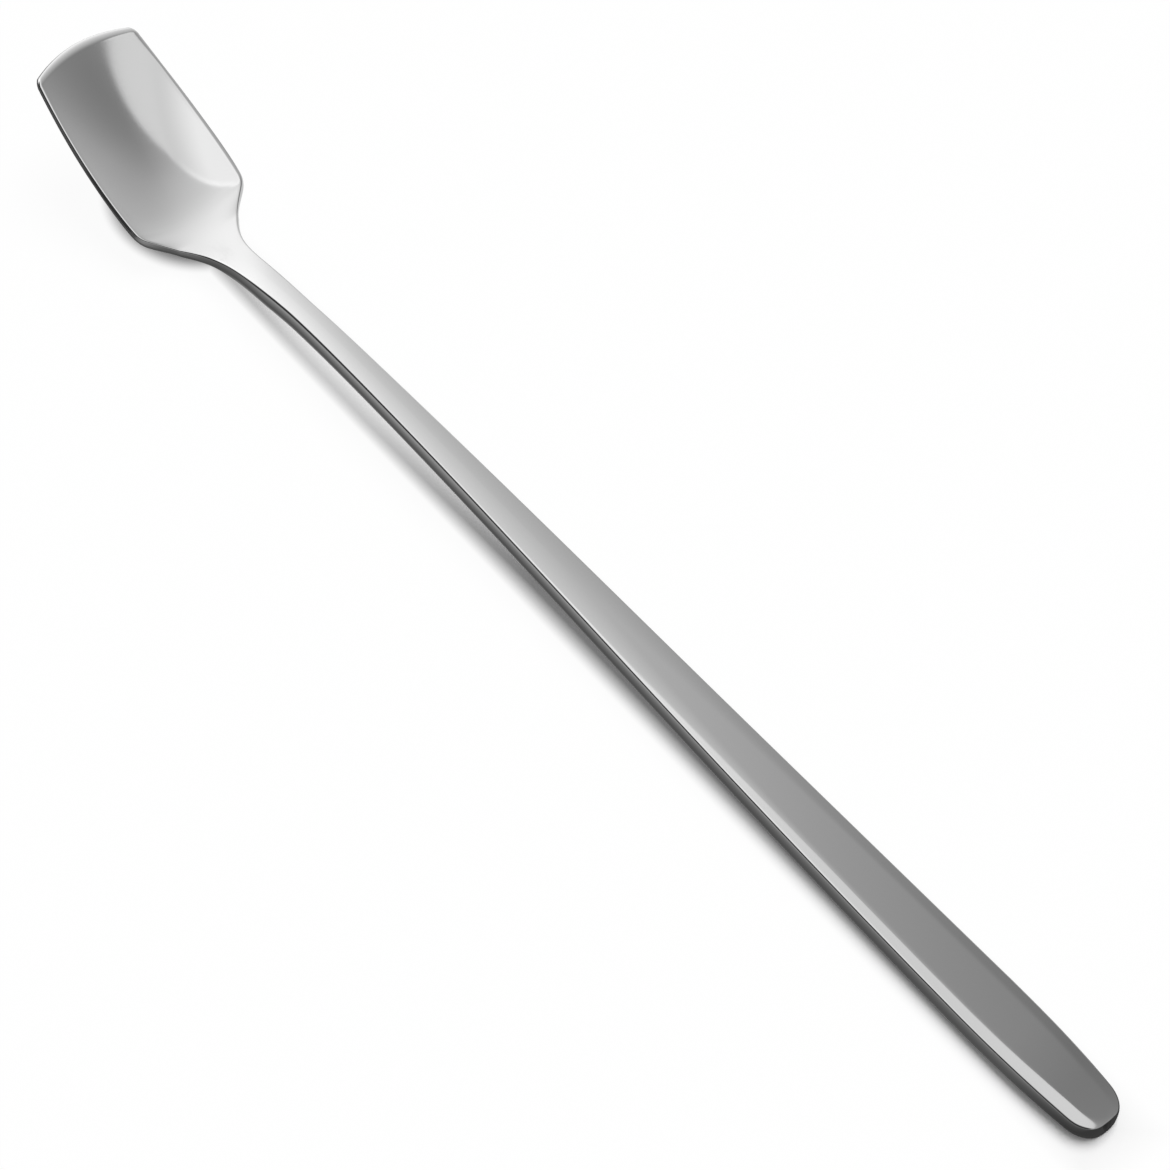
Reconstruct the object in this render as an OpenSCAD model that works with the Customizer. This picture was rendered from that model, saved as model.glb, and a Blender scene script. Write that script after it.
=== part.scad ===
// Tasting spoon pressed from one strip of stainless steel: a long slim handle, a slender neck and a small
// square-ended bowl. Millimetres, +Z up, +X toward the tip, the table at Z = 0, both halves alike about Y = 0.
// The three zones of the strip meet face to face on flat cuts across X.

/* [Overall] */
// Handle end to the upper edge of the tip
length = 200; // [170:1:240]
// Rounding of the edges along handle and neck
edge_r = 0.3; // [0.15:0.05:0.4]

/* [Bowl] */
// Rim, from the tip back to the shoulders
bowl_l = 24; // [20:0.5:32]
// Width across the widest place of the rim
bowl_w = 17.74; // [14:0.02:24]
// Widest place, from the tip
bowl_mid = 16.5; // [14:0.5:19]
// Sheet thickness of the bowl
bowl_t = 1.15; // [0.8:0.05:1.5]
// Rounding of the rim's edges along the sides
rim_r = 0.45; // [0.15:0.05:0.45]
// Rounding of the lip's upper edge at the tip, as a share of the sheet
lip_share = 0.6; // [0.3:0.05:0.6]
// Rise of the tip's upper edge above the table
tip_h = 18.33; // [14:0.01:22]
// Width between the tip's corners
tip_w = 15.8; // [12:0.1:20]
// How far the middle of the tip stands before its corners
tip_bulge = 1.95; // [1:0.05:3]
// Radius of the tip's corners in plan
tip_corner_r = 1.4; // [0.8:0.1:2.5]
// How far the corners lie below the middle of the tip
tip_sag = 0.18; // [0:0.02:0.6]
// Climb of the bowl's floor at the tip, rise over run
tip_slope = 0.85; // [0.6:0.01:1]
// Climb of the rim at the tip's corners, rise over run
corner_slope = 0.72; // [0.5:0.01:0.9]
// Height of the rim at the shoulders
shoulder_h = 6.05; // [5:0.05:8]
// Climb of the rim at the shoulders, rise over run
shoulder_slope = 0.44; // [0.3:0.01:0.6]
// Heel, the lowest place of the bowl, from the shoulders toward the handle
heel_back = 1.5; // [0.5:0.1:3]
// Thickness at the heel, where the bowl rests on the table
heel_t = 3.2; // [2.6:0.05:3.6]
// Length over which the middle thins from the heel to the sheet
heel_l = 12; // [8:0.5:16]
// Roundness across at the heel: 2 is a parabola, less is more open
heel_power = 2.1; // [1.6:0.05:2.4]
// Roundness across the bowl beyond the heel
bowl_power = 1.65; // [1.5:0.05:2.5]

/* [Neck] */
// Width of the neck
neck_w = 3.36; // [2.6:0.02:4.6]
// How far each side of the neck spreads on the way to the flare
neck_spread = 0.22; // [0:0.02:0.4]
// Length of the neck zone
neck_l = 35; // [25:1:50]
// Length over which the neck flares out to the shoulders
flare_l = 21; // [16:0.5:28]
// How late the flare opens, as a power of the way along it
flare_power = 4.35; // [3:0.05:6]
// Lowest place of the edge, from the shoulders toward the handle
dip_back = 4.2; // [3:0.1:6]
// Height of the edge at its lowest place
dip_h = 3.85; // [3:0.05:5]
// Run of the edge from the neck's slope down to its lowest place
drop_l = 5.8; // [4:0.1:8]
// Height of the edge on the neck's slope
drop_h = 4.7; // [4:0.05:6]
// Fall of the edge on the neck's slope, rise over run
drop_slope = 0.28; // [0.15:0.01:0.4]
// Where the hollow of the bowl begins, from the shoulders toward the handle
hollow_back = 18; // [14:0.5:20]

/* [Handle] */
// Widest width of the handle
grip_w = 7.98; // [6.8:0.02:11]
// Widest place, from the handle's end
grip_end_l = 20; // [14:0.5:28]
// Width that the handle draws in to at its end, before the end is rounded
end_w = 6; // [4.6:0.1:6.6]
// Length of the rounded end
end_l = 3.6; // [2.6:0.1:4.6]
// Squareness of the rounded end: 2 is an ellipse
end_power = 2.5; // [2:0.1:3.5]
// Thickness of the strip along handle and neck
handle_t = 2.9; // [2.2:0.05:3.6]
// Thickness at the very end
end_t = 2.35; // [1.8:0.05:2.6]
// Length over which the top rolls down to the end
roll_l = 14; // [8:0.5:20]
// Flat of the underside that lies on the table
rest_l = 8; // [5:0.5:12]
// Place of the height on the way up, from the handle's end
knee_at = 60; // [45:1:75]
// Height of the upper edge there
knee_h = 4.26; // [3.7:0.02:5]
// Climb of the handle there, rise over run
knee_slope = 0.045; // [0.03:0.005:0.06]
// Highest place of the arch, from the tip
crest_back = 62; // [58:1:75]
// Height of the upper edge at the arch
crest_h = 7.72; // [6.5:0.02:10]
// How far the sides of the strip swell out
side_bulge = 0.35; // [0.1:0.05:0.6]
// Width of the polished bevel along the upper edge
bevel_w = 1.35; // [0.8:0.05:1.8]
// Fall of the bevel, rise over run
bevel_slope = 0.33; // [0.1:0.01:0.5]
// Crown of the flat between the bevels
crown = 0.06; // [0.02:0.01:0.15]

/* [Hidden] */
steel = [0.78, 0.79, 0.80];
// Sharpness of the turn between flare and rim
shoulder_turn = 22;
// Widest bevel as a share of the half-width, and its blend into the flat as a share of the bevel
bevel_share = 0.55;
bevel_blend = 0.2;
// Points across half a ring, and rings along each stretch
half_points = 7;
round_rings = 9;
end_rings = 6;
grip_rings = 22;
neck_rings = 12;
bowl_rings = 46;
corner_rings = 5;
// Steps for slopes, along the strip in mm and across it as a share of the half-width
step_s = 0.02;
step_v = 0.01;

// Places along the strip, from the handle's end
end_x = 0.02;
shoulder_x = length - bowl_l;
heel_x = shoulder_x - heel_back;
bow_x = shoulder_x - 3.5;
dip_x = shoulder_x - dip_back;
drop_x = dip_x - drop_l;
flare_x = shoulder_x - flare_l;
flare_end_x = shoulder_x - 0.8;
hollow_x = shoulder_x - hollow_back;
neck_x = flare_x - neck_l;
taper_x = flare_x - 5;
crest_x = length - crest_back;
mid_x = length - bowl_mid;
last_x = length - tip_bulge;
// Sheet thins from the strip to the bowl between these places
thin_x = flare_x + 5;
thin_end_x = shoulder_x - 4.5;
// Tip corner: angle that its arc turns through, and where the arc begins
side_fall = (bowl_w - tip_w) / 2 / pow(last_x - mid_x, 2);
corner_turn = 90 - atan(4 * tip_bulge / tip_w) - atan(2 * side_fall * (last_x - mid_x));
corner_x = last_x - tip_corner_r * sin(corner_turn);
// Climb of the lip, the rounding of its upper and lower edge, and where the upper one begins
tip_angle = atan(tip_slope);
lip_r = lip_share * bowl_t;
lip_under_r = 0.26 * bowl_t;
lip_x = last_x - lip_r * cos(tip_angle);
// The rounded underside of the tip reaches past its upper edge, and the origin is half-way along the whole
overhang = (bowl_t - lip_under_r) * sin(tip_angle) + lip_under_r * (1 - cos(tip_angle));
origin_x = (length + overhang) / 2;

function unit(t) = min(1, max(0, t));

function ease(t) = pow(unit(t), 2) * (3 - 2 * unit(t));

function mix(a, b, t) = a + (b - a) * t;

// Cubic from p to q, each [place, height, slope]
function bend(x, p, q) =
    let (d = q[0] - p[0], t = unit((x - p[0]) / d), u = 1 - t)
    u * u * (1 + 2 * t) * p[1] + t * t * (3 - 2 * t) * q[1] + t * u * d * (u * p[2] - t * q[2]);

// Chain of such cubics
function track(x, knots, i = 0) =
    i + 2 >= len(knots) || x <= knots[i + 1][0]
        ? bend(x, knots[i], knots[i + 1])
        : track(x, knots, i + 1);

// Rounded corner of radius r: how far the surface lies below its edge at a distance d inside it
function round_off(r, d) = d >= r ? 0 : r - sqrt(r * r - pow(r - max(d, 0), 2));

// Half-width of handle and neck before the end is rounded: a long taper, drawn in toward the end
function taper_w(x) =
    let (t = unit((x - grip_end_l) / (taper_x - grip_end_l)),
         taper = (1 - t) / 2 + (1 + cos(180 * t)) / 4)
    mix(neck_w, grip_w, taper) / 2 - (grip_w - end_w) / 2 * pow(unit(1 - x / grip_end_l), 2.4);

function bar_w(x) = taper_w(x) * pow(1 - pow(unit(1 - x / end_l), end_power), 1 / end_power);

// Half-width of the rim's long sides
function side_w(x) = bowl_w / 2 - side_fall * pow(max(x, flare_end_x) - mid_x, 2);

// Half-width with the tip's corners left sharp: the flare runs into the sides with a rounded shoulder
function plain_w(x) =
    let (way = max(0, (x - flare_x) / (flare_end_x - flare_x)),
         neck = neck_w / 2 + neck_spread * ease((x - taper_x) / 12),
         flare = mix(neck, side_w(flare_end_x), pow(way, flare_power)))
    x <= taper_x
        ? bar_w(x)
        : pow(pow(flare, -shoulder_turn) + pow(side_w(x), -shoulder_turn), -1 / shoulder_turn);

function half_w(x) = plain_w(x) - round_off(tip_corner_r, tip_corner_r - max(0, x - corner_x));

// Thickness of the strip, rolled thinner toward the handle's end
function strip_t(x) = handle_t - (handle_t - end_t) * pow(unit(1 - x / roll_l), 2);

// Thickness at the edge, along the middle, and at share v of the half-width
function rim_t(x) = mix(strip_t(x), bowl_t, ease((x - thin_x) / (thin_end_x - thin_x)));

function middle_t(x) =
    let (heel = mix(strip_t(x), heel_t, ease((x - thin_x) / (heel_x - thin_x))))
    mix(heel, bowl_t, ease((x - heel_x) / heel_l));

function sheet(x, v) = mix(middle_t(x), rim_t(x), v * v);

// Height of the upper edge, from the flat end over the arch and the dip up to the tip's corners
function edge_z(x) =
    track(x, [
        [rest_l, 0, 0],
        [knee_at, knee_h - handle_t, knee_slope],
        [crest_x, crest_h - handle_t, 0],
        [drop_x, drop_h - handle_t, -drop_slope],
        [dip_x, dip_h - handle_t, 0],
        [shoulder_x, shoulder_h - handle_t, shoulder_slope],
        [last_x, tip_h - tip_sag - handle_t, corner_slope]
    ]) + strip_t(x);

// Bevel along the outline of handle and neck: how far it has fallen, 0 on the flat and 1 at the edge
function bevel_at(x) = min(bevel_w, bevel_share * taper_w(x));

function bevel(x, y) =
    let (w = taper_w(x),
         rho = pow(pow(unit(1 - x / end_l), end_power) + pow(abs(y) / w, end_power), 1 / end_power),
         inside = w * (1 - rho),
         depth = 1 - inside / bevel_at(x),
         e = bevel_blend)
    depth > e ? depth : pow(max(0, depth + e), 2) / (4 * e);

function rise(x) = bevel_at(x) * bevel_slope + crown;

// Height along the middle: the flat of the handle, then down to the heel and up to the tip
function flat_z(x) = edge_z(x) + rise(x);

function middle_z(x) =
    x <= hollow_x
        ? flat_z(x)
        : track(x, [
            [hollow_x, flat_z(hollow_x), (flat_z(hollow_x + step_s) - flat_z(hollow_x - step_s)) / (2 * step_s)],
            [heel_x, heel_t, 0],
            [length, tip_h, tip_slope]
        ]);

// Upper skin at place s along the strip and share v of the half-width w: the bevelled flat turns into the hollow.
// Toward the tip the rings bow forward.
function skin(s, v, w) =
    let (bow = tip_bulge * ease((s - bow_x) / (last_x - bow_x)),
         faint = crown / rise(s),
         flat = faint * (1 - v * v) + (1 - faint) * (1 - bevel(s, v * min(w, taper_w(s)))),
         hollow = 1 - pow(abs(v), mix(heel_power, bowl_power, ease((s - heel_x) / heel_l))),
         section = mix(flat, hollow, ease((s - hollow_x + 4) / (heel_x - hollow_x + 4))))
    [s + bow * (1 - v * v), v * w, mix(edge_z(s), middle_z(s + bow), section)];

function normal(s, v) =
    let (along = skin(s, v, plain_w(s)) - skin(s - step_s, v, plain_w(s - step_s)),
         across = skin(s, v + step_v, plain_w(s)) - skin(s, v - step_v, plain_w(s)),
         n = cross(along, across))
    n / norm(n);

// How far a face draws in at the rounded handle end and at the lip of the tip, rounded by r
function draw_in(s, r) = round_off(edge_r, s - end_x) + round_off(r, (last_x - s) / cos(tip_angle));

function top(s, v) = skin(s, v, half_w(s)) - draw_in(s, lip_r) * normal(s, v);

// Underside: flat across the handle and neck, a sheet under the bowl
function under(s, v) =
    let (p = skin(s, v, half_w(s)),
         flat = [p[0], p[1], edge_z(s) - rim_t(s) + draw_in(s, lip_under_r)],
         even = p - (sheet(s, v) - draw_in(s, lip_under_r)) * normal(s, v))
    s <= flare_x ? flat : mix(flat, even, ease((s - flare_x) / (thin_end_x - flare_x)));

// Radius of the long edges, no more than the thin places leave
function long_r(s) =
    min(mix(edge_r, rim_r, ease((s - thin_x) / (thin_end_x - thin_x))),
        0.4 * (rim_t(s) - draw_in(s, lip_r) - draw_in(s, lip_under_r)),
        0.5 * half_w(s));

// Side of a ring, from its upper face to its underside: rounded corners and a swollen face between them
function side_edge(s, v, r) =
    let (t = top(s, sign(v)), b = under(s, sign(v)),
         share = r / norm(b - t),
         blend = 1 - sqrt(0.5),
         ways = [blend * share, share, mix(share, 1 - share, 1 / 3), mix(share, 1 - share, 2 / 3), 1 - share,
                 1 - blend * share],
         swell = side_bulge * (rim_t(s) - bowl_t) / (handle_t - bowl_t))
    [for (i = [0 : 5])
        mix(t, b, ways[i])
            + (i == 0 ? blend * (top(s, v) - t) : i == 5 ? blend * (under(s, v) - b) : [0, 0, 0])
            + [0, sign(v) * swell * 4 * ways[i] * (1 - ways[i]), 0]];

// Closed ring of points round the strip
function ring(s) =
    let (r = long_r(s),
         v = 1 - r / half_w(s),
         near = side_edge(s, -v, r))
    concat(
        [for (i = [-half_points : half_points]) top(s, v * i / half_points)],
        side_edge(s, v, r),
        [for (i = [half_points : -1 : -half_points]) under(s, v * i / half_points)],
        [for (i = [5 : -1 : 0]) near[i]]
    );

// Even steps from a to b without b
function steps(a, b, n) = [for (i = [0 : n - 1]) mix(a, b, i / n)];

// End face of a ring that starts at point k: strips between the two faces, then the two rounded sides
function end_face(k) =
    let (w = 2 * half_points, low = 2 * w + 7)
    concat(
        [for (j = [0 : w - 1]) [k + j, k + j + 1, k + low - j - 1]],
        [for (j = [0 : w - 1]) [k + j, k + low - j - 1, k + low - j]],
        [for (j = [1 : 6]) [k + w, k + w + j, k + w + j + 1]],
        [for (j = [1 : 6]) [k + low, k + low + j, k + (low + j + 1) % (low + 7)]]
    );

// Solid through rings at the places in list s
module strip(s) {
    m = 4 * half_points + 14;
    points = [for (x = s) each ring(x)];
    sides = [
        for (i = [0 : len(s) - 2], j = [0 : m - 1])
            let (a = i * m + j, b = i * m + (j + 1) % m)
            each [[a, b, b + m], [a, b + m, a + m]]
    ];
    first = [for (f = end_face(0)) [f[2], f[1], f[0]]];
    translate([-origin_x, 0, 0])
        polyhedron(points, concat(sides, first, end_face((len(s) - 1) * m)), convexity = 6);
}

// Hollow bowl from the flare of the neck to the rounded lip of the tip
module bowl() {
    color(steel)
        strip(concat(
            steps(flare_x, corner_x, bowl_rings),
            steps(corner_x, lip_x, corner_rings),
            [for (a = [0 : 22.5 : 90]) last_x - lip_r * (1 - sin(a)) * cos(tip_angle)]
        ));
}

// Slender neck over the crest of the arch
module neck() {
    color(steel)
        strip(concat(steps(neck_x, flare_x, neck_rings), [flare_x]));
}

// Long handle with its rounded, rolled-down end
module handle() {
    color(steel)
        strip(concat(
            [for (a = [0 : 30 : 60]) end_x + edge_r * (1 - cos(a))],
            [for (a = steps(0, 90, round_rings)) end_l + (end_x + edge_r - end_l) * cos(a)],
            steps(end_l, grip_end_l, end_rings),
            [grip_end_l],
            [for (i = [1 : grip_rings]) mix(grip_end_l, neck_x, i / grip_rings)]
        ));
}

bowl();
neck();
handle();
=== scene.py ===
"""Looks of the tasting spoon: one seamless steel skin over the CAD's bowl, neck and handle, on a white floor."""
from math import radians

import bpy
import numpy as np
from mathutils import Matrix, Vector


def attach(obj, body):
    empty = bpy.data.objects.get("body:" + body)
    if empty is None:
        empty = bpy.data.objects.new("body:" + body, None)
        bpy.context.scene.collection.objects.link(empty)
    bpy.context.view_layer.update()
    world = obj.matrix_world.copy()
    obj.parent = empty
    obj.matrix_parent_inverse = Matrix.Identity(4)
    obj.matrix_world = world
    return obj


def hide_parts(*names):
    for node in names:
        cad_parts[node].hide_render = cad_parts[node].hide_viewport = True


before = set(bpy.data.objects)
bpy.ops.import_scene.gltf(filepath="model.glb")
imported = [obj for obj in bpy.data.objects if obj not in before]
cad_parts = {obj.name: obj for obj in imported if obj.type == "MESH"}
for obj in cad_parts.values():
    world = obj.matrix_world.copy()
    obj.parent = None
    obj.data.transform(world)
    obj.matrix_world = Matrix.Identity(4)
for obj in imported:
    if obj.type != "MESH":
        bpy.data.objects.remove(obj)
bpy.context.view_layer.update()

# Driving sizes of the spoon in millimetres, the same as in the part's source
LENGTH = 200.0
EDGE_R, RIM_R = 0.3, 0.45
BOWL_L, BOWL_W, BOWL_MID, BOWL_T = 24.0, 17.74, 16.5, 1.15
LIP_R, LIP_UNDER_R = 0.6 * BOWL_T, 0.26 * BOWL_T
TIP_H, TIP_W, TIP_BULGE, TIP_CORNER_R, TIP_SAG = 18.33, 15.8, 1.95, 1.4, 0.18
TIP_SLOPE, CORNER_SLOPE = 0.85, 0.72
SHOULDER_H, SHOULDER_SLOPE, SHOULDER_TURN = 6.05, 0.44, 22
HEEL_BACK, HEEL_T, HEEL_L, HEEL_POWER, BOWL_POWER = 1.5, 3.2, 12.0, 2.1, 1.65
NECK_W, NECK_SPREAD, SPREAD_L, FLARE_L, FLARE_POWER = 3.36, 0.22, 12.0, 21.0, 4.35
DIP_BACK, DIP_H = 4.2, 3.85
DROP_L, DROP_H, DROP_SLOPE = 5.8, 4.7, 0.28
HOLLOW_BACK, HOLLOW_LEAD, BOW_BACK = 18.0, 4.0, 3.5
GRIP_W, GRIP_END_L, GRIP_END_POWER = 7.98, 20.0, 2.4
END_W, END_L, END_POWER = 6.0, 3.6, 2.5
HANDLE_T, END_T, ROLL_L, REST_L = 2.9, 2.35, 14.0, 8.0
SIDE_BULGE = 0.35
KNEE_AT, KNEE_H, KNEE_SLOPE = 60.0, 4.26, 0.045
CREST_BACK, CREST_H = 62.0, 7.72
BEVEL_W, BEVEL_SHARE, BEVEL_SLOPE, BEVEL_BLEND = 1.35, 0.55, 0.33, 0.2
CROWN = 0.06

# Sizes of the looks alone, in millimetres. The upper edges are rounded less and reach the rim's radius near the tip,
# and the top of the lip rounds off over a longer run. The bevel takes in a share of the handle's rounded end, and its
# blend widens from a place and over a length. The flare's lines are smoothed over steps, easing in, and easing out past
# the shoulder.
TOP_EDGE_R, TOP_RIM_R = 0.2, 0.3
TIP_EASE_BACK, TIP_EASE_L = 6.0, 5.0
LIP_RUN = 1.25
BEVEL_WRAP, WIDE_X, WIDE_L = 0.3, 40.0, 60.0
SMOOTH_STEP, SMOOTH_IN_L = 1.2, 4.0
WIDTH_PAST, WIDTH_OUT_L = 6.0, 4.0
HEIGHT_PAST, HEIGHT_OUT_L = 4.0, 6.0

# Places along the strip, from the handle's end
END_X = 0.02
SHOULDER_X = LENGTH - BOWL_L
HEEL_X = SHOULDER_X - HEEL_BACK
DIP_X = SHOULDER_X - DIP_BACK
DROP_X = DIP_X - DROP_L
FLARE_X = SHOULDER_X - FLARE_L
FLARE_END_X = SHOULDER_X - 0.8
HOLLOW_X = SHOULDER_X - HOLLOW_BACK
TAPER_X = FLARE_X - 5
CREST_X = LENGTH - CREST_BACK
MID_X = LENGTH - BOWL_MID
LAST_X = LENGTH - TIP_BULGE
THIN_X, THIN_END_X = FLARE_X + 5, SHOULDER_X - 4.5
SIDE_FALL = (BOWL_W - TIP_W) / 2 / (LAST_X - MID_X) ** 2
CORNER_TURN = np.pi / 2 - np.arctan(4 * TIP_BULGE / TIP_W) - np.arctan(2 * SIDE_FALL * (LAST_X - MID_X))
CORNER_X = LAST_X - TIP_CORNER_R * np.sin(CORNER_TURN)
TIP_ANGLE = np.arctan(TIP_SLOPE)
OVERHANG = (BOWL_T - LIP_UNDER_R) * np.sin(TIP_ANGLE) + LIP_UNDER_R * (1 - np.cos(TIP_ANGLE))
ORIGIN_X = (LENGTH + OVERHANG) / 2

# Grid of the skin: points across half a face, steps of a rounded edge and points on a side
HALF_POINTS = 20
EDGE_STEPS = 6
SIDE_STEPS = 6


def unit(t):
    """t held between 0 and 1."""
    return np.clip(t, 0, 1)


def ease(t):
    """Smooth step: 3 t^2 - 2 t^3 between 0 and 1."""
    return unit(t) ** 2 * (3 - 2 * unit(t))


def mix(a, b, t):
    """From a to b by the share t: a + (b - a) t."""
    return a + (b - a) * t


def track(x, knots):
    """Chain of cubics through knots of (place, height, slope), each with the heights and slopes of its two ends."""
    out = np.zeros_like(x)
    for i, ((x0, z0, m0), (x1, z1, m1)) in enumerate(zip(knots, knots[1:])):
        t = unit((x - x0) / (x1 - x0))
        u = 1 - t
        z = u * u * (1 + 2 * t) * z0 + t * t * (3 - 2 * t) * z1 + t * u * (x1 - x0) * (u * m0 - t * m1)
        out = z if i == 0 else np.where(x > x0, z, out)
    return out


def round_off(r, d):
    """Drop of a quarter-round of radius r at the distance d inside its edge."""
    return np.where(d >= r, 0, r - np.sqrt(np.maximum(r * r - (r - np.maximum(d, 0)) ** 2, 0)))


def taper_w(x):
    """Half-width of the bar before its end is rounded: half a straight taper and half a cosine, less a power curve that
    draws it in toward the end."""
    t = unit((x - GRIP_END_L) / (TAPER_X - GRIP_END_L))
    w = mix(NECK_W, GRIP_W, (1 - t) / 2 + (1 + np.cos(np.pi * t)) / 4) / 2
    return w - (GRIP_W - END_W) / 2 * unit(1 - x / GRIP_END_L) ** GRIP_END_POWER


def bar_w(x):
    """Half-width of handle and neck: the taper, with a superellipse for its end."""
    return taper_w(x) * (1 - unit(1 - x / END_L) ** END_POWER) ** (1 / END_POWER)


def side_w(x):
    """Half-width of the rim's long sides: a parabola about the widest place."""
    return BOWL_W / 2 - SIDE_FALL * (np.maximum(x, FLARE_END_X) - MID_X) ** 2


def plain_w(x):
    """Half-width with sharp tip corners: the lesser of flare and side, blended by a high power mean at the shoulder."""
    way = np.maximum(0, (x - FLARE_X) / (FLARE_END_X - FLARE_X))
    neck = NECK_W / 2 + NECK_SPREAD * ease((x - TAPER_X) / SPREAD_L)
    flare = mix(neck, side_w(FLARE_END_X), way ** FLARE_POWER)
    bowl = (flare ** -SHOULDER_TURN + side_w(x) ** -SHOULDER_TURN) ** (-1 / SHOULDER_TURN)
    return np.where(x <= TAPER_X, bar_w(np.minimum(x, TAPER_X)), bowl)


def half_w(x):
    """Half-width with the tip's corners rounded by an arc."""
    return plain_w(x) - round_off(TIP_CORNER_R, TIP_CORNER_R - np.maximum(0, x - CORNER_X))


def strip_t(x):
    """Thickness of the strip: even, and rolled thinner toward the handle's end by a parabola."""
    return HANDLE_T - (HANDLE_T - END_T) * unit(1 - x / ROLL_L) ** 2


def rim_t(x):
    """Thickness at the edge: the strip, easing to the bowl's sheet."""
    return mix(strip_t(x), BOWL_T, ease((x - THIN_X) / (THIN_END_X - THIN_X)))


def middle_t(x):
    """Thickness along the middle: the strip, then the thicker heel, then the bowl's sheet."""
    heel = mix(strip_t(x), HEEL_T, ease((x - THIN_X) / (HEEL_X - THIN_X)))
    return mix(heel, BOWL_T, ease((x - HEEL_X) / HEEL_L))


def sheet(x, v):
    """Thickness at share v of the half-width: from the middle to the edge by v squared."""
    return mix(middle_t(x), rim_t(x), v * v)


def edge_z(x):
    """Height of the upper edge: flat end, arch, dip and rim as a chain of cubics."""
    return track(x, [
        (REST_L, 0, 0),
        (KNEE_AT, KNEE_H - HANDLE_T, KNEE_SLOPE),
        (CREST_X, CREST_H - HANDLE_T, 0),
        (DROP_X, DROP_H - HANDLE_T, -DROP_SLOPE),
        (DIP_X, DIP_H - HANDLE_T, 0),
        (SHOULDER_X, SHOULDER_H - HANDLE_T, SHOULDER_SLOPE),
        (LAST_X, TIP_H - TIP_SAG - HANDLE_T, CORNER_SLOPE),
    ]) + strip_t(x)


def bevel_w(x):
    """Width of the polished bevel, no more than a share of the half-width."""
    return np.minimum(BEVEL_W, BEVEL_SHARE * taper_w(x))


def bevel(x, y):
    """How far the polished bevel has fallen, from 0 on the flat of the handle to 1 at its edge.

    It falls straight with the distance from the side, w (1 - rho), and blends into the flat by a parabola, over all its
    width toward the neck. Round the end, rho takes in a share of the superellipse's fall, so that the bevel thins out
    there."""
    w = taper_w(x)
    rho = (BEVEL_WRAP * unit(1 - x / END_L) ** END_POWER + np.abs(y / w) ** END_POWER) ** (1 / END_POWER)
    depth = 1 - w * (1 - rho) / bevel_w(x)
    e = mix(BEVEL_BLEND, 1, ease((x - WIDE_X) / WIDE_L))
    return np.where(depth > e, depth, np.maximum(depth + e, 0) ** 2 / (4 * e))


def rise(x):
    """Height of the handle's flat above its edge: the bevel's width times its slope, and a faint crown."""
    return bevel_w(x) * BEVEL_SLOPE + CROWN


def middle_z(x):
    """Height along the middle: the handle's flat, then a cubic down to the heel and one up to the tip."""
    step = 0.02
    at = np.array([HOLLOW_X - step, HOLLOW_X, HOLLOW_X + step])
    flat = edge_z(at) + rise(at)
    dive = [(HOLLOW_X, flat[1], (flat[2] - flat[0]) / (2 * step)), (HEEL_X, HEEL_T, 0), (LENGTH, TIP_H, TIP_SLOPE)]
    return np.where(x <= HOLLOW_X, edge_z(x) + rise(x), track(x, dive))


def soften(line, s):
    """Average of a line over five places round s, weighted 1, 2, 3, 2, 1."""
    return sum(weight * line(s + k * SMOOTH_STEP) for k, weight in ((-2, 1), (-1, 2), (0, 3), (1, 2), (2, 1))) / 9


def skin(s, v, w):
    """Upper skin at place s and share v of the half-width w: height = edge + (middle - edge) times a section.

    The section goes from the handle's bevelled flat to the bowl's 1 - |v|^power. Inside the flare, the edge's height
    and the half-width behind v are softened along their lines, less and less toward the edge. Toward the tip each ring
    bows forward by bulge (1 - v^2)."""
    bow = TIP_BULGE * ease((s - SHOULDER_X + BOW_BACK) / (LAST_X - SHOULDER_X + BOW_BACK))
    crown = CROWN / rise(s)
    flat = crown * (1 - v * v) + (1 - crown) * (1 - bevel(s, v * np.minimum(w, taper_w(s))))
    onset = ease((s - DROP_X) / SMOOTH_IN_L)
    soft_width = onset * ease((SHOULDER_X + WIDTH_PAST - s) / WIDTH_OUT_L) * (1 - v ** 4)
    share = v * mix(1, plain_w(s) / soften(plain_w, s), soft_width)
    hollow = 1 - np.abs(share) ** mix(HEEL_POWER, BOWL_POWER, ease((s - HEEL_X) / HEEL_L))
    section = mix(flat, hollow, ease((s - HOLLOW_X + HOLLOW_LEAD) / (HEEL_X - HOLLOW_X + HOLLOW_LEAD)))
    soft_height = onset * ease((SHOULDER_X + HEIGHT_PAST - s) / HEIGHT_OUT_L) * (1 - v * v)
    z = mix(mix(edge_z(s), soften(edge_z, s), soft_height), middle_z(s + bow), section)
    return np.stack(np.broadcast_arrays(s + bow * (1 - v * v), v * w, z), axis=-1)


def normal(s, v):
    """Unit normal of the upper skin from its differences along and across."""
    ds, dv = 0.02, 0.01
    along = skin(s, v, plain_w(s)) - skin(s - ds, v, plain_w(s - ds))
    across = skin(s, v + dv, plain_w(s)) - skin(s, v - dv, plain_w(s))
    n = np.cross(along, across)
    return n / np.linalg.norm(n, axis=-1, keepdims=True)


def draw_in(s, lip_r, run):
    """How far a face draws in at the rounded handle end, and at the lip by a quarter-ellipse of its run and depth."""
    return round_off(EDGE_R, s - END_X) + round_off(lip_r, (LAST_X - s) / np.cos(TIP_ANGLE) * lip_r / run)


def top(s, v):
    """Upper face: the skin, drawn in at its two ends."""
    return skin(s, v, half_w(s)) - draw_in(s, LIP_R, LIP_RUN)[..., None] * normal(s, v)


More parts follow.
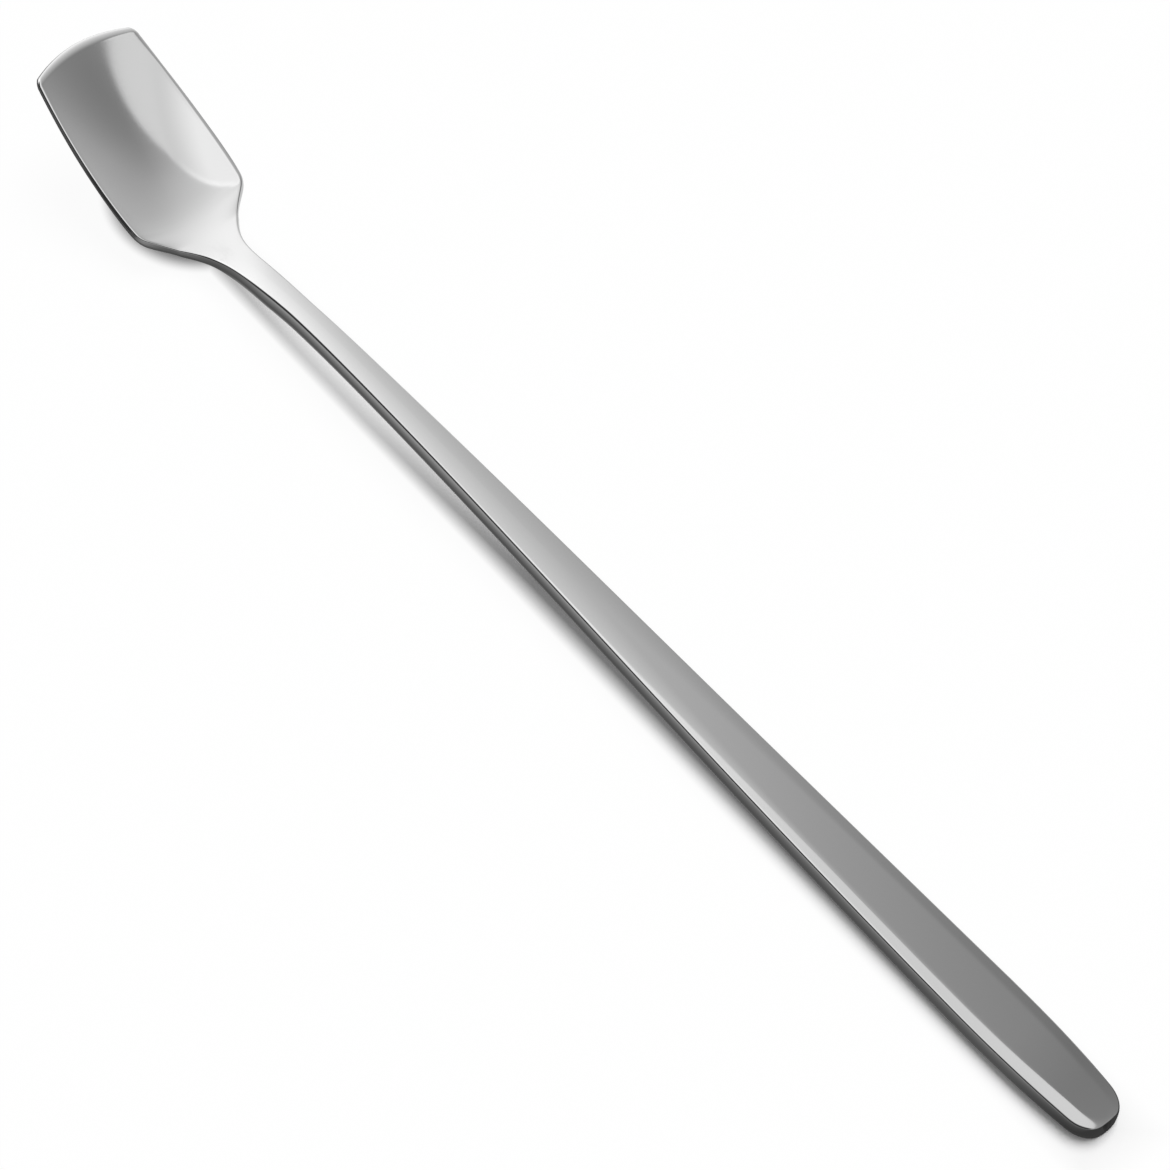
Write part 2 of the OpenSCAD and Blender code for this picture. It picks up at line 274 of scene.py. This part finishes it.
def under(s, v):
    """Underside: flat across handle and neck, easing to a sheet under the bowl."""
    p = skin(s, v, half_w(s))
    drawn = draw_in(s, LIP_UNDER_R, LIP_UNDER_R)
    flat = np.stack(np.broadcast_arrays(p[..., 0], p[..., 1], edge_z(s) - rim_t(s) + drawn), axis=-1)
    even = p - (sheet(s, v) - drawn)[..., None] * normal(s, v)
    return mix(flat, even, ease((s - FLARE_X) / (THIN_END_X - FLARE_X))[..., None])


def edge_r(s, strip_r, rim_r):
    """Radius of the long edges: the strip's, easing to the rim's and near the tip to that of the solid's rim, and never
    more than a share of what the ends leave."""
    r = mix(strip_r, rim_r, ease((s - THIN_X) / (THIN_END_X - THIN_X)))
    r = mix(r, RIM_R, ease((s - LAST_X + TIP_EASE_BACK) / TIP_EASE_L))
    left = rim_t(s) - draw_in(s, LIP_R, LIP_RUN) - draw_in(s, LIP_UNDER_R, LIP_UNDER_R)
    return np.minimum(r, np.minimum(0.4 * left, 0.5 * half_w(s)))


def side_edge(s, side, r, low_r):
    """Side of the strip: corner + (face - corner)(1 - sin a) + (side - corner)(1 - cos a) at both corners, and
    between them the face of the strip. All of it swells outward by bulge 4 t (1 - t), t being the way down."""
    t, b = top(s, side), under(s, side)
    high, low = [(each / np.linalg.norm(b - t, axis=-1))[..., None] for each in (r, low_r)]
    a = np.linspace(0, np.pi / 2, EDGE_STEPS + 1)[None, 1:, None]
    upper = t + (top(s, side * (1 - r / half_w(s))) - t) * (1 - np.sin(a)) + (b - t) * high * (1 - np.cos(a))
    lower = b + (under(s, side * (1 - low_r / half_w(s))) - b) * (1 - np.sin(a)) + (t - b) * low * (1 - np.cos(a))
    way = mix(high, 1 - low, np.linspace(0, 1, SIDE_STEPS + 2)[None, 1:-1, None])
    down = np.concatenate([high * (1 - np.cos(a)), way, 1 - low * (1 - np.cos(a[:, ::-1]))], axis=1)
    swell = SIDE_BULGE * ((rim_t(s) - BOWL_T) / (HANDLE_T - BOWL_T))[..., None] * 4 * down * (1 - down)
    return np.concatenate([upper, mix(t, b, way), lower[:, ::-1]], axis=1) + swell * side * np.array([0, 1, 0])


def stations():
    """Places of the rings: close together at both ends, at the shoulders and at the tip's corners."""
    corner = np.linspace(0, np.pi / 2, 9)
    return np.unique(np.concatenate([
        END_X + EDGE_R * (1 - np.cos(corner)),
        END_L + (END_X + EDGE_R - END_L) * np.cos(np.linspace(0, np.pi / 2, 40)),
        np.linspace(END_L, GRIP_END_L, 40),
        np.linspace(GRIP_END_L, FLARE_X, 150),
        np.linspace(FLARE_X, CORNER_X, 330),
        np.linspace(CORNER_X, LAST_X - LIP_RUN * np.cos(TIP_ANGLE), 12),
        LAST_X - LIP_RUN * np.cos(TIP_ANGLE) * (1 - np.sin(np.linspace(0, np.pi / 2, 33))),
    ]).round(6))


def spoon_grid():
    """All rings as one array of (ring, point, xyz) in metres: upper face, one side, underside, other side."""
    s = stations()[:, None]
    r, low_r = edge_r(s, TOP_EDGE_R, TOP_RIM_R), edge_r(s, EDGE_R, RIM_R)
    v = np.linspace(-1, 1, 2 * HALF_POINTS + 1)[None]
    rings = np.concatenate([
        top(s, v * (1 - r / half_w(s))),
        side_edge(s, 1, r, low_r),
        under(s, v * (1 - low_r / half_w(s)))[:, ::-1],
        side_edge(s, -1, r, low_r)[:, ::-1],
    ], axis=1)
    return (rings - [ORIGIN_X, 0, 0]) / 1000


def spoon_faces(rings, points):
    """Quads between neighbouring rings, and at both ends strips from the upper half of the ring to its lower half."""
    i, j = np.meshgrid(np.arange(rings - 1), np.arange(points), indexing="ij")
    a, b = i * points + j, i * points + (j + 1) % points
    sides = np.stack([a, a + points, b + points, b], axis=-1).reshape(-1, 4)
    p = np.arange(-EDGE_STEPS - SIDE_STEPS // 2, 2 * HALF_POINTS + EDGE_STEPS + SIDE_STEPS // 2)
    low = 4 * HALF_POINTS + 1 + 2 * EDGE_STEPS + SIDE_STEPS
    cap = np.stack([p, p + 1, low - p - 1, low - p], axis=-1) % points
    return np.concatenate([sides, cap, cap[:, ::-1] + (rings - 1) * points])


def make_mesh(name, verts, faces):
    """Smooth-shaded object at the origin from an array of points and one of quads."""
    mesh = bpy.data.meshes.new(name)
    mesh.from_pydata(verts.reshape(-1, 3), [], faces.tolist())
    mesh.shade_smooth()
    mesh.update()
    obj = bpy.data.objects.new(name, mesh)
    bpy.context.scene.collection.objects.link(obj)
    return obj


def linear(code):
    """sRGB hex to linear red, green, blue and alpha."""
    c = np.array([int(code[i:i + 2], 16) for i in (1, 3, 5)]) / 255
    return (*np.where(c <= 0.04045, c / 12.92, ((c + 0.055) / 1.055) ** 2.4), 1.0)


def add(tree, kind, inputs=(), **settings):
    """Adds a node with its settings. inputs maps a socket to a value, or to an output socket that is linked to it."""
    node = tree.nodes.new(kind)
    for key, value in settings.items():
        setattr(node, key, value)
    for socket, value in dict(inputs).items():
        if isinstance(value, bpy.types.NodeSocket):
            tree.links.new(value, node.inputs[socket])
        else:
            node.inputs[socket].default_value = value
    return node


def square(name, half, height):
    """Flat square with its corners at plus and minus half its side, at a height."""
    corners = np.array([[-1, -1, 0], [1, -1, 0], [1, 1, 0], [-1, 1, 0]]) * half + [0, 0, height]
    return make_mesh(name, corners, np.array([[0, 1, 2, 3]]))


def seen(tree):
    """1 on rays by which a thing is seen, straight or in metal or glass, and 0 on those that only light it."""
    ray = add(tree, "ShaderNodeLightPath").outputs
    eye = add(tree, "ShaderNodeMath", {0: ray["Is Camera Ray"], 1: ray["Is Glossy Ray"]}, operation="MAXIMUM")
    eye = add(tree, "ShaderNodeMath", {0: eye.outputs[0], 1: ray["Is Transmission Ray"]}, operation="MAXIMUM")
    return eye.outputs[0]


def blank_material(name):
    """New material and its node tree, emptied."""
    mat = bpy.data.materials.new(name)
    mat.use_nodes = True
    mat.node_tree.nodes.clear()
    return mat, mat.node_tree


def polished_stainless():
    """18/8 stainless, pressed and buffed along its length: a clear mirror with slight haze and faint buffing lines."""
    mat, tree = blank_material("polished_stainless")
    where = add(tree, "ShaderNodeTexCoord").outputs["Object"]
    # Buffing lines are about 0.02 mm apart, drawn 0.25 mm apart and 12 mm long so that they can show
    stretch = add(tree, "ShaderNodeMapping", {"Vector": where, "Scale": (1 / 0.012, 1 / 0.00025, 1 / 0.00025)})
    lines = add(tree, "ShaderNodeTexNoise", {"Vector": stretch.outputs[0], "Scale": 1.0, "Detail": 2.0})
    # Handling leaves haze in patches about 9 mm across
    haze = add(tree, "ShaderNodeTexNoise", {"Vector": where, "Scale": 1 / 0.009, "Detail": 3.0})
    both = add(tree, "ShaderNodeMath", {0: lines.outputs["Fac"], 1: haze.outputs["Fac"]}, operation="ADD")
    rough = add(tree, "ShaderNodeMapRange",
                {"Value": both.outputs[0], "From Min": 0.6, "From Max": 1.4, "To Min": 0.09, "To Max": 0.15})
    bump = add(tree, "ShaderNodeBump", {"Height": lines.outputs["Fac"], "Strength": 0.02, "Distance": 0.00005})
    steel = add(tree, "ShaderNodeBsdfPrincipled",
                {"Base Color": linear("#CCCCCC"), "Metallic": 1.0, "Roughness": rough.outputs[0],
                 "Normal": bump.outputs[0]})
    add(tree, "ShaderNodeOutputMaterial", {"Surface": steel.outputs[0]})
    return mat


# The spoon
grid = spoon_grid()
spoon = make_mesh("spoon", grid, spoon_faces(*grid.shape[:2]))
spoon.data.materials.append(polished_stainless())
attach(spoon, "root")
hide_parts("bowl", "neck", "handle")

# Floor: white card. Where it is seen, straight or in the steel, a painted glow makes it white and paints out the
# spoon's shadow. The glow is taken out along the near side of handle and neck and round the bowl's heel, where the
# shadow shows, and is only partly kept under the neck, where the shadow is paler. Each pair of places, in metres, says
# where the glow starts and where it is whole.
FLOOR_HALF = 6.0
FLOOR_GLOW = 0.95
FAR_SIDE = (-0.0015, -0.006)
NEAR_SIDE, NEAR_LEAN = (0.0019, 0.0045), 0.029
PAST_NECK, PAST_END = (0.066, 0.080), (-0.101, -0.106)
NECK_PALER, NECK_GLOW = (0.0, 0.035), 0.36
HEEL_PLACE, HEEL_SPREAD = (0.081, -0.004, 0), (0.0148, 0.0129, 1)
HEEL_FADE, HEEL_GLOW = (0.78, 1.0), 0.15
floor = square("floor", FLOOR_HALF, 0.0)
card, tree = blank_material("white_card")
where = add(tree, "ShaderNodeTexCoord").outputs["Object"]
place = add(tree, "ShaderNodeSeparateXYZ", {"Vector": where}).outputs
outward = add(tree, "ShaderNodeMath", {0: place["X"], 1: NEAR_LEAN, 2: place["Y"]}, operation="MULTIPLY_ADD").outputs[0]
edges = [add(tree, "ShaderNodeMapRange", {"Value": way, "From Min": start, "From Max": stop, "To Max": most}).outputs[0]
         for way, (start, stop), most in (
             (place["Y"], FAR_SIDE, 1.0), (outward, NEAR_SIDE, 1.0), (place["X"], PAST_NECK, 1.0),
             (place["X"], PAST_END, 1.0), (place["X"], NECK_PALER, NECK_GLOW))]
whole = edges[0]
for edge in edges[1:]:
    whole = add(tree, "ShaderNodeMath", {0: whole, 1: edge}, operation="MAXIMUM").outputs[0]
# Oval round the heel in which the shadow shows too, up to the far side
oval = add(tree, "ShaderNodeMapping", {"Vector": where, "Location": HEEL_PLACE, "Scale": HEEL_SPREAD},
           vector_type="TEXTURE")
oval = add(tree, "ShaderNodeVectorMath", {0: oval.outputs[0]}, operation="LENGTH")
oval = add(tree, "ShaderNodeMapRange",
           {"Value": oval.outputs["Value"], "From Min": HEEL_FADE[0], "From Max": HEEL_FADE[1], "To Min": HEEL_GLOW},
           interpolation_type="SMOOTHSTEP")
oval = add(tree, "ShaderNodeMath", {0: oval.outputs[0], 1: edges[0]}, operation="MAXIMUM")
whole = add(tree, "ShaderNodeMath", {0: whole, 1: oval.outputs[0]}, operation="MINIMUM")
glow = add(tree, "ShaderNodeMath", {0: whole.outputs[0], 1: seen(tree)}, operation="MULTIPLY")
glow = add(tree, "ShaderNodeMath", {0: glow.outputs[0], 1: FLOOR_GLOW}, operation="MULTIPLY")
paper = add(tree, "ShaderNodeBsdfDiffuse", {"Color": linear("#F8F8F8")})
# Painted glow, no lamp: it whitens the floor and paints out the spoon's shadow
painted_glow = add(tree, "ShaderNodeEmission", {"Color": (1, 1, 1, 1), "Strength": 1.0})
both = add(tree, "ShaderNodeMixShader", {0: glow.outputs[0], 1: paper.outputs[0], 2: painted_glow.outputs[0]})
add(tree, "ShaderNodeOutputMaterial", {"Surface": both.outputs[0]})
floor.data.materials.append(card)

# Light tent: a half-ball of white cloth round the spoon that shows in the steel. It is grey over the handle's end and
# bright beyond the tip. Its places are shares of its radius, and its lights are strengths.
TENT_R, TENT_LOW = 0.23, -0.15
TURNS, RINGS = 96, 33
BRIGHT = 1.5
ROOF_WAY = Vector((0.996, 0.087, 0))
ROOF_LIGHT = {-0.75: 0.38, -0.5: 0.34, -0.3: 0.30, -0.14: 0.39, 0.0: 0.50, 0.14: 0.63, 0.28: 0.72, 0.42: 0.80,
              0.57: 0.93, 0.78: 1.2, 0.95: 1.5}
FAR_GAIN, NEAR_GAIN = 0.78, 1.48
FOLD_X, FOLD_Y, FOLD_DEPTH = (0.93, 0.99), (-0.22, -0.06), 0.65
PANEL_RIGHT, PANEL_AWAY = Vector((-0.643, -0.766, 0)), Vector((0.766, -0.643, 0))
PANEL_LIGHT = {-0.55: 1.37, -0.32: 1.05, -0.22: 0.98, -0.1: 1.03}
PANEL_SIDE = (0.28, 0.36)
HEM, HEM_RISE, HEM_SHIFT = (-0.155, -0.115), 0.58, 0.058
DOUBLED_HEM, DOUBLED_SIDE, DOUBLED_LIGHT = (-0.24, -0.165), (-0.20, -0.34), 0.22
SKIRT_TOP, SKIRT_NEAR, SKIRT_LIGHT = (0.46, 0.70), (0.28, 0.5), (0.03, 0.03, 0.03, 1)
a, b = np.meshgrid(np.linspace(0, 2 * np.pi, TURNS + 1)[:-1], np.linspace(TENT_LOW, np.pi / 2, RINGS), indexing="ij")
ball = TENT_R * np.stack([np.cos(a) * np.cos(b), np.sin(a) * np.cos(b), np.sin(b)], axis=-1)
i, j = np.meshgrid(np.arange(TURNS), np.arange(RINGS - 1), indexing="ij")
here, after = i * RINGS + j, (i + 1) % TURNS * RINGS + j
tent = make_mesh("light_tent", ball, np.stack([here, after, after + 1, here + 1], axis=-1).reshape(-1, 4))
cloth, tree = blank_material("tent_cloth")
where = add(tree, "ShaderNodeTexCoord").outputs["Object"]
share = add(tree, "ShaderNodeVectorMath", {0: where, 1: (1 / TENT_R,) * 3}, operation="MULTIPLY").outputs[0]
place = add(tree, "ShaderNodeSeparateXYZ", {"Vector": share}).outputs
along, across, level, rising = [
    add(tree, "ShaderNodeVectorMath", {0: share, 1: way}, operation="DOT_PRODUCT").outputs["Value"]
    for way in (ROOF_WAY, PANEL_RIGHT, PANEL_AWAY, PANEL_AWAY + HEM_RISE * PANEL_RIGHT)]
# Two runs of light, over the roof and across the front panel
runs = []
for way, stops in ((along, ROOF_LIGHT), (across, PANEL_LIGHT)):
    spread = add(tree, "ShaderNodeMapRange", {"Value": way, "From Min": -1.0, "From Max": 1.0})
    run = add(tree, "ShaderNodeValToRGB", {"Fac": spread.outputs[0]})
    for k, (stop, light) in enumerate(stops.items()):
        mark = run.color_ramp.elements[k] if k < 2 else run.color_ramp.elements.new(0.999)
        mark.position = (stop + 1) / 2
        mark.color = (light / BRIGHT,) * 3 + (1,)
    runs.append(run.outputs["Color"])
# The front panel hangs behind the camera: its upper hem is level, rises on the left and ends on the right
rising = add(tree, "ShaderNodeMath", {0: rising, 1: HEM_SHIFT}, operation="ADD").outputs[0]
hem = add(tree, "ShaderNodeMath", {0: level, 1: rising}, operation="MINIMUM").outputs[0]
# Soft edges of the fold beyond the tip, of the panel, of its doubled hem and of the skirt
fold_x, fold_y, under_hem, beside, doubled, doubled_side, low_down, near_side = [
    add(tree, "ShaderNodeMapRange",
        {"Value": way, "From Min": start, "From Max": stop, "To Min": first, "To Max": last},
        interpolation_type="SMOOTHSTEP").outputs[0]
    for way, (start, stop), first, last in (
        (place["X"], FOLD_X, 0.0, 1.0), (place["Y"], FOLD_Y, 0.0, FOLD_DEPTH),
        (hem, HEM, 1.0, 0.0), (across, PANEL_SIDE, 1.0, 0.0),
        (hem, DOUBLED_HEM, 0.0, DOUBLED_LIGHT / BRIGHT), (across, DOUBLED_SIDE, 0.0, 1.0),
        (place["Z"], SKIRT_TOP, 1.0, 0.0), (place["Y"], SKIRT_NEAR, 0.0, 1.0))]
# The roof is brighter toward the near side, and the fold dims it beyond the tip
gain = add(tree, "ShaderNodeMapRange", {"Value": place["Y"], "From Min": -1.0, "From Max": 1.0,
                                        "To Min": FAR_GAIN, "To Max": NEAR_GAIN})
fold = add(tree, "ShaderNodeMath", {0: fold_x, 1: fold_y}, operation="MULTIPLY")
fold = add(tree, "ShaderNodeMath", {0: 1.0, 1: fold.outputs[0]}, operation="SUBTRACT")
gain = add(tree, "ShaderNodeMath", {0: gain.outputs[0], 1: fold.outputs[0]}, operation="MULTIPLY")
roof = add(tree, "ShaderNodeMath", {0: runs[0], 1: gain.outputs[0]}, operation="MULTIPLY")
panel = add(tree, "ShaderNodeMath", {0: doubled, 1: doubled_side, 2: runs[1]}, operation="MULTIPLY_ADD")
panel_in = add(tree, "ShaderNodeMath", {0: under_hem, 1: beside}, operation="MULTIPLY")
lit = add(tree, "ShaderNodeMix", {"Factor": panel_in.outputs[0], "A": roof.outputs[0], "B": panel.outputs[0]},
          data_type="RGBA")
# The dark skirt, low on the near side, draws the dark line along the near edges
skirt = add(tree, "ShaderNodeMath", {0: low_down, 1: near_side}, operation="MULTIPLY")
lit = add(tree, "ShaderNodeMix", {"Factor": skirt.outputs[0], "A": lit.outputs["Result"], "B": SKIRT_LIGHT},
          data_type="RGBA")
cloth_light = add(tree, "ShaderNodeEmission", {"Color": lit.outputs["Result"], "Strength": BRIGHT})
add(tree, "ShaderNodeOutputMaterial", {"Surface": cloth_light.outputs[0]})
tent.data.materials.append(cloth)
tent.visible_camera = False
tent.visible_diffuse = False
tent.visible_shadow = False

# Black card just above the floor, out of the picture and seen only in the steel, that paints shade onto the sides of
# the
# strip: dark reflections in place of the floor's shadow beside them. It turns grey farther out and on the far side, and
# is darkest toward the tip. Its places are in metres and its greys are strengths.
BLACK_HALF, BLACK_HEIGHT = 0.2, 0.00003
OUT, OUT_GREY = (0.004, 0.018), (0.10, 0.45)
TO_TIP, TIP_PART = (0.066, 0.080), 0.25
TO_END, END_PART = (-0.097, -0.088), 0.6
FAR, FAR_AHEAD, FAR_GREY = (0.005, -0.006), (-0.097, -0.09), 0.45
FLARE_FROM, FLARE_TO, FLARE_GREY = (0.02, 0.04), (0.085, 0.075), 0.85
painted_shade_sheet = square("painted_shade_card", BLACK_HALF, BLACK_HEIGHT)
black, tree = blank_material("painted_shade_card")
place = add(tree, "ShaderNodeSeparateXYZ", {"Vector": add(tree, "ShaderNodeTexCoord").outputs["Object"]}).outputs
out, to_tip, to_end, ahead, flare_from, flare_to = [
    add(tree, "ShaderNodeMapRange",
        {"Value": place[axis], "From Min": start, "From Max": stop, "To Min": first, "To Max": last}).outputs[0]
    for axis, (start, stop), first, last in (
        ("Y", OUT, *OUT_GREY), ("X", TO_TIP, 1.0, TIP_PART), ("X", TO_END, END_PART, 1.0),
        ("X", FAR_AHEAD, 0.0, 1.0), ("X", FLARE_FROM, 0.0, 1.0), ("X", FLARE_TO, 0.0, 1.0))]
far = add(tree, "ShaderNodeMapRange", {"Value": place["Y"], "From Min": FAR[0], "From Max": FAR[1]},
          interpolation_type="SMOOTHSTEP")
near_grey = add(tree, "ShaderNodeMath", {0: out, 1: to_tip}, operation="MULTIPLY")
near_grey = add(tree, "ShaderNodeMath", {0: near_grey.outputs[0], 1: to_end}, operation="MULTIPLY")
far = add(tree, "ShaderNodeMath", {0: far.outputs[0], 1: ahead}, operation="MULTIPLY")
far_grey = add(tree, "ShaderNodeMath", {0: flare_from, 1: flare_to}, operation="MULTIPLY")
far_grey = add(tree, "ShaderNodeMapRange", {"Value": far_grey.outputs[0], "To Min": FAR_GREY, "To Max": FLARE_GREY})
grey = add(tree, "ShaderNodeMix", {"Factor": far.outputs[0], "A": near_grey.outputs[0], "B": far_grey.outputs[0]},
           data_type="FLOAT")
# Painted shade: a dim grey glow that the steel shows as dark reflections
dark_reflection_glow = add(tree, "ShaderNodeEmission", {"Color": (1, 1, 1, 1), "Strength": grey.outputs["Result"]})
add(tree, "ShaderNodeOutputMaterial", {"Surface": dark_reflection_glow.outputs[0]})
painted_shade_sheet.data.materials.append(black)
painted_shade_sheet.visible_camera = False
painted_shade_sheet.visible_diffuse = False
painted_shade_sheet.visible_shadow = False

# Key light high on the far side, broad enough for soft shadows
key = bpy.data.objects.new("key_light", bpy.data.lights.new("key_light", "SUN"))
key.data.energy = 2.4
key.data.angle = radians(40)
key.rotation_euler = Vector((0.05, -0.40, 0.92)).to_track_quat("Z", "Y").to_euler()
key.visible_glossy = False
bpy.context.scene.collection.objects.link(key)

# World: dim fill, and white where it is seen
FILL = 0.30
world = bpy.data.worlds.new("studio")
bpy.context.scene.world = world
world.use_nodes = True
tree = world.node_tree
tree.nodes.clear()
strength = add(tree, "ShaderNodeMapRange", {"Value": seen(tree), "To Min": FILL, "To Max": 1.0})
sky = add(tree, "ShaderNodeBackground", {"Color": (1, 1, 1, 1), "Strength": strength.outputs[0]})
add(tree, "ShaderNodeOutputWorld", {"Surface": sky.outputs[0]})

# Camera at the photograph's viewing angle
camera = bpy.data.objects.new("camera", bpy.data.cameras.new("camera"))
camera.data.angle = radians(21.06)
camera.data.clip_start = 0.01
camera.location = (-0.1801, 0.1442, 0.3277)
aim = Vector((-0.00431, -0.00334, 0)) - camera.location
camera.rotation_euler = aim.to_track_quat("-Z", "Y").to_euler()
bpy.context.scene.collection.objects.link(camera)
bpy.context.scene.camera = camera

bpy.context.scene.view_settings.view_transform = "Standard"
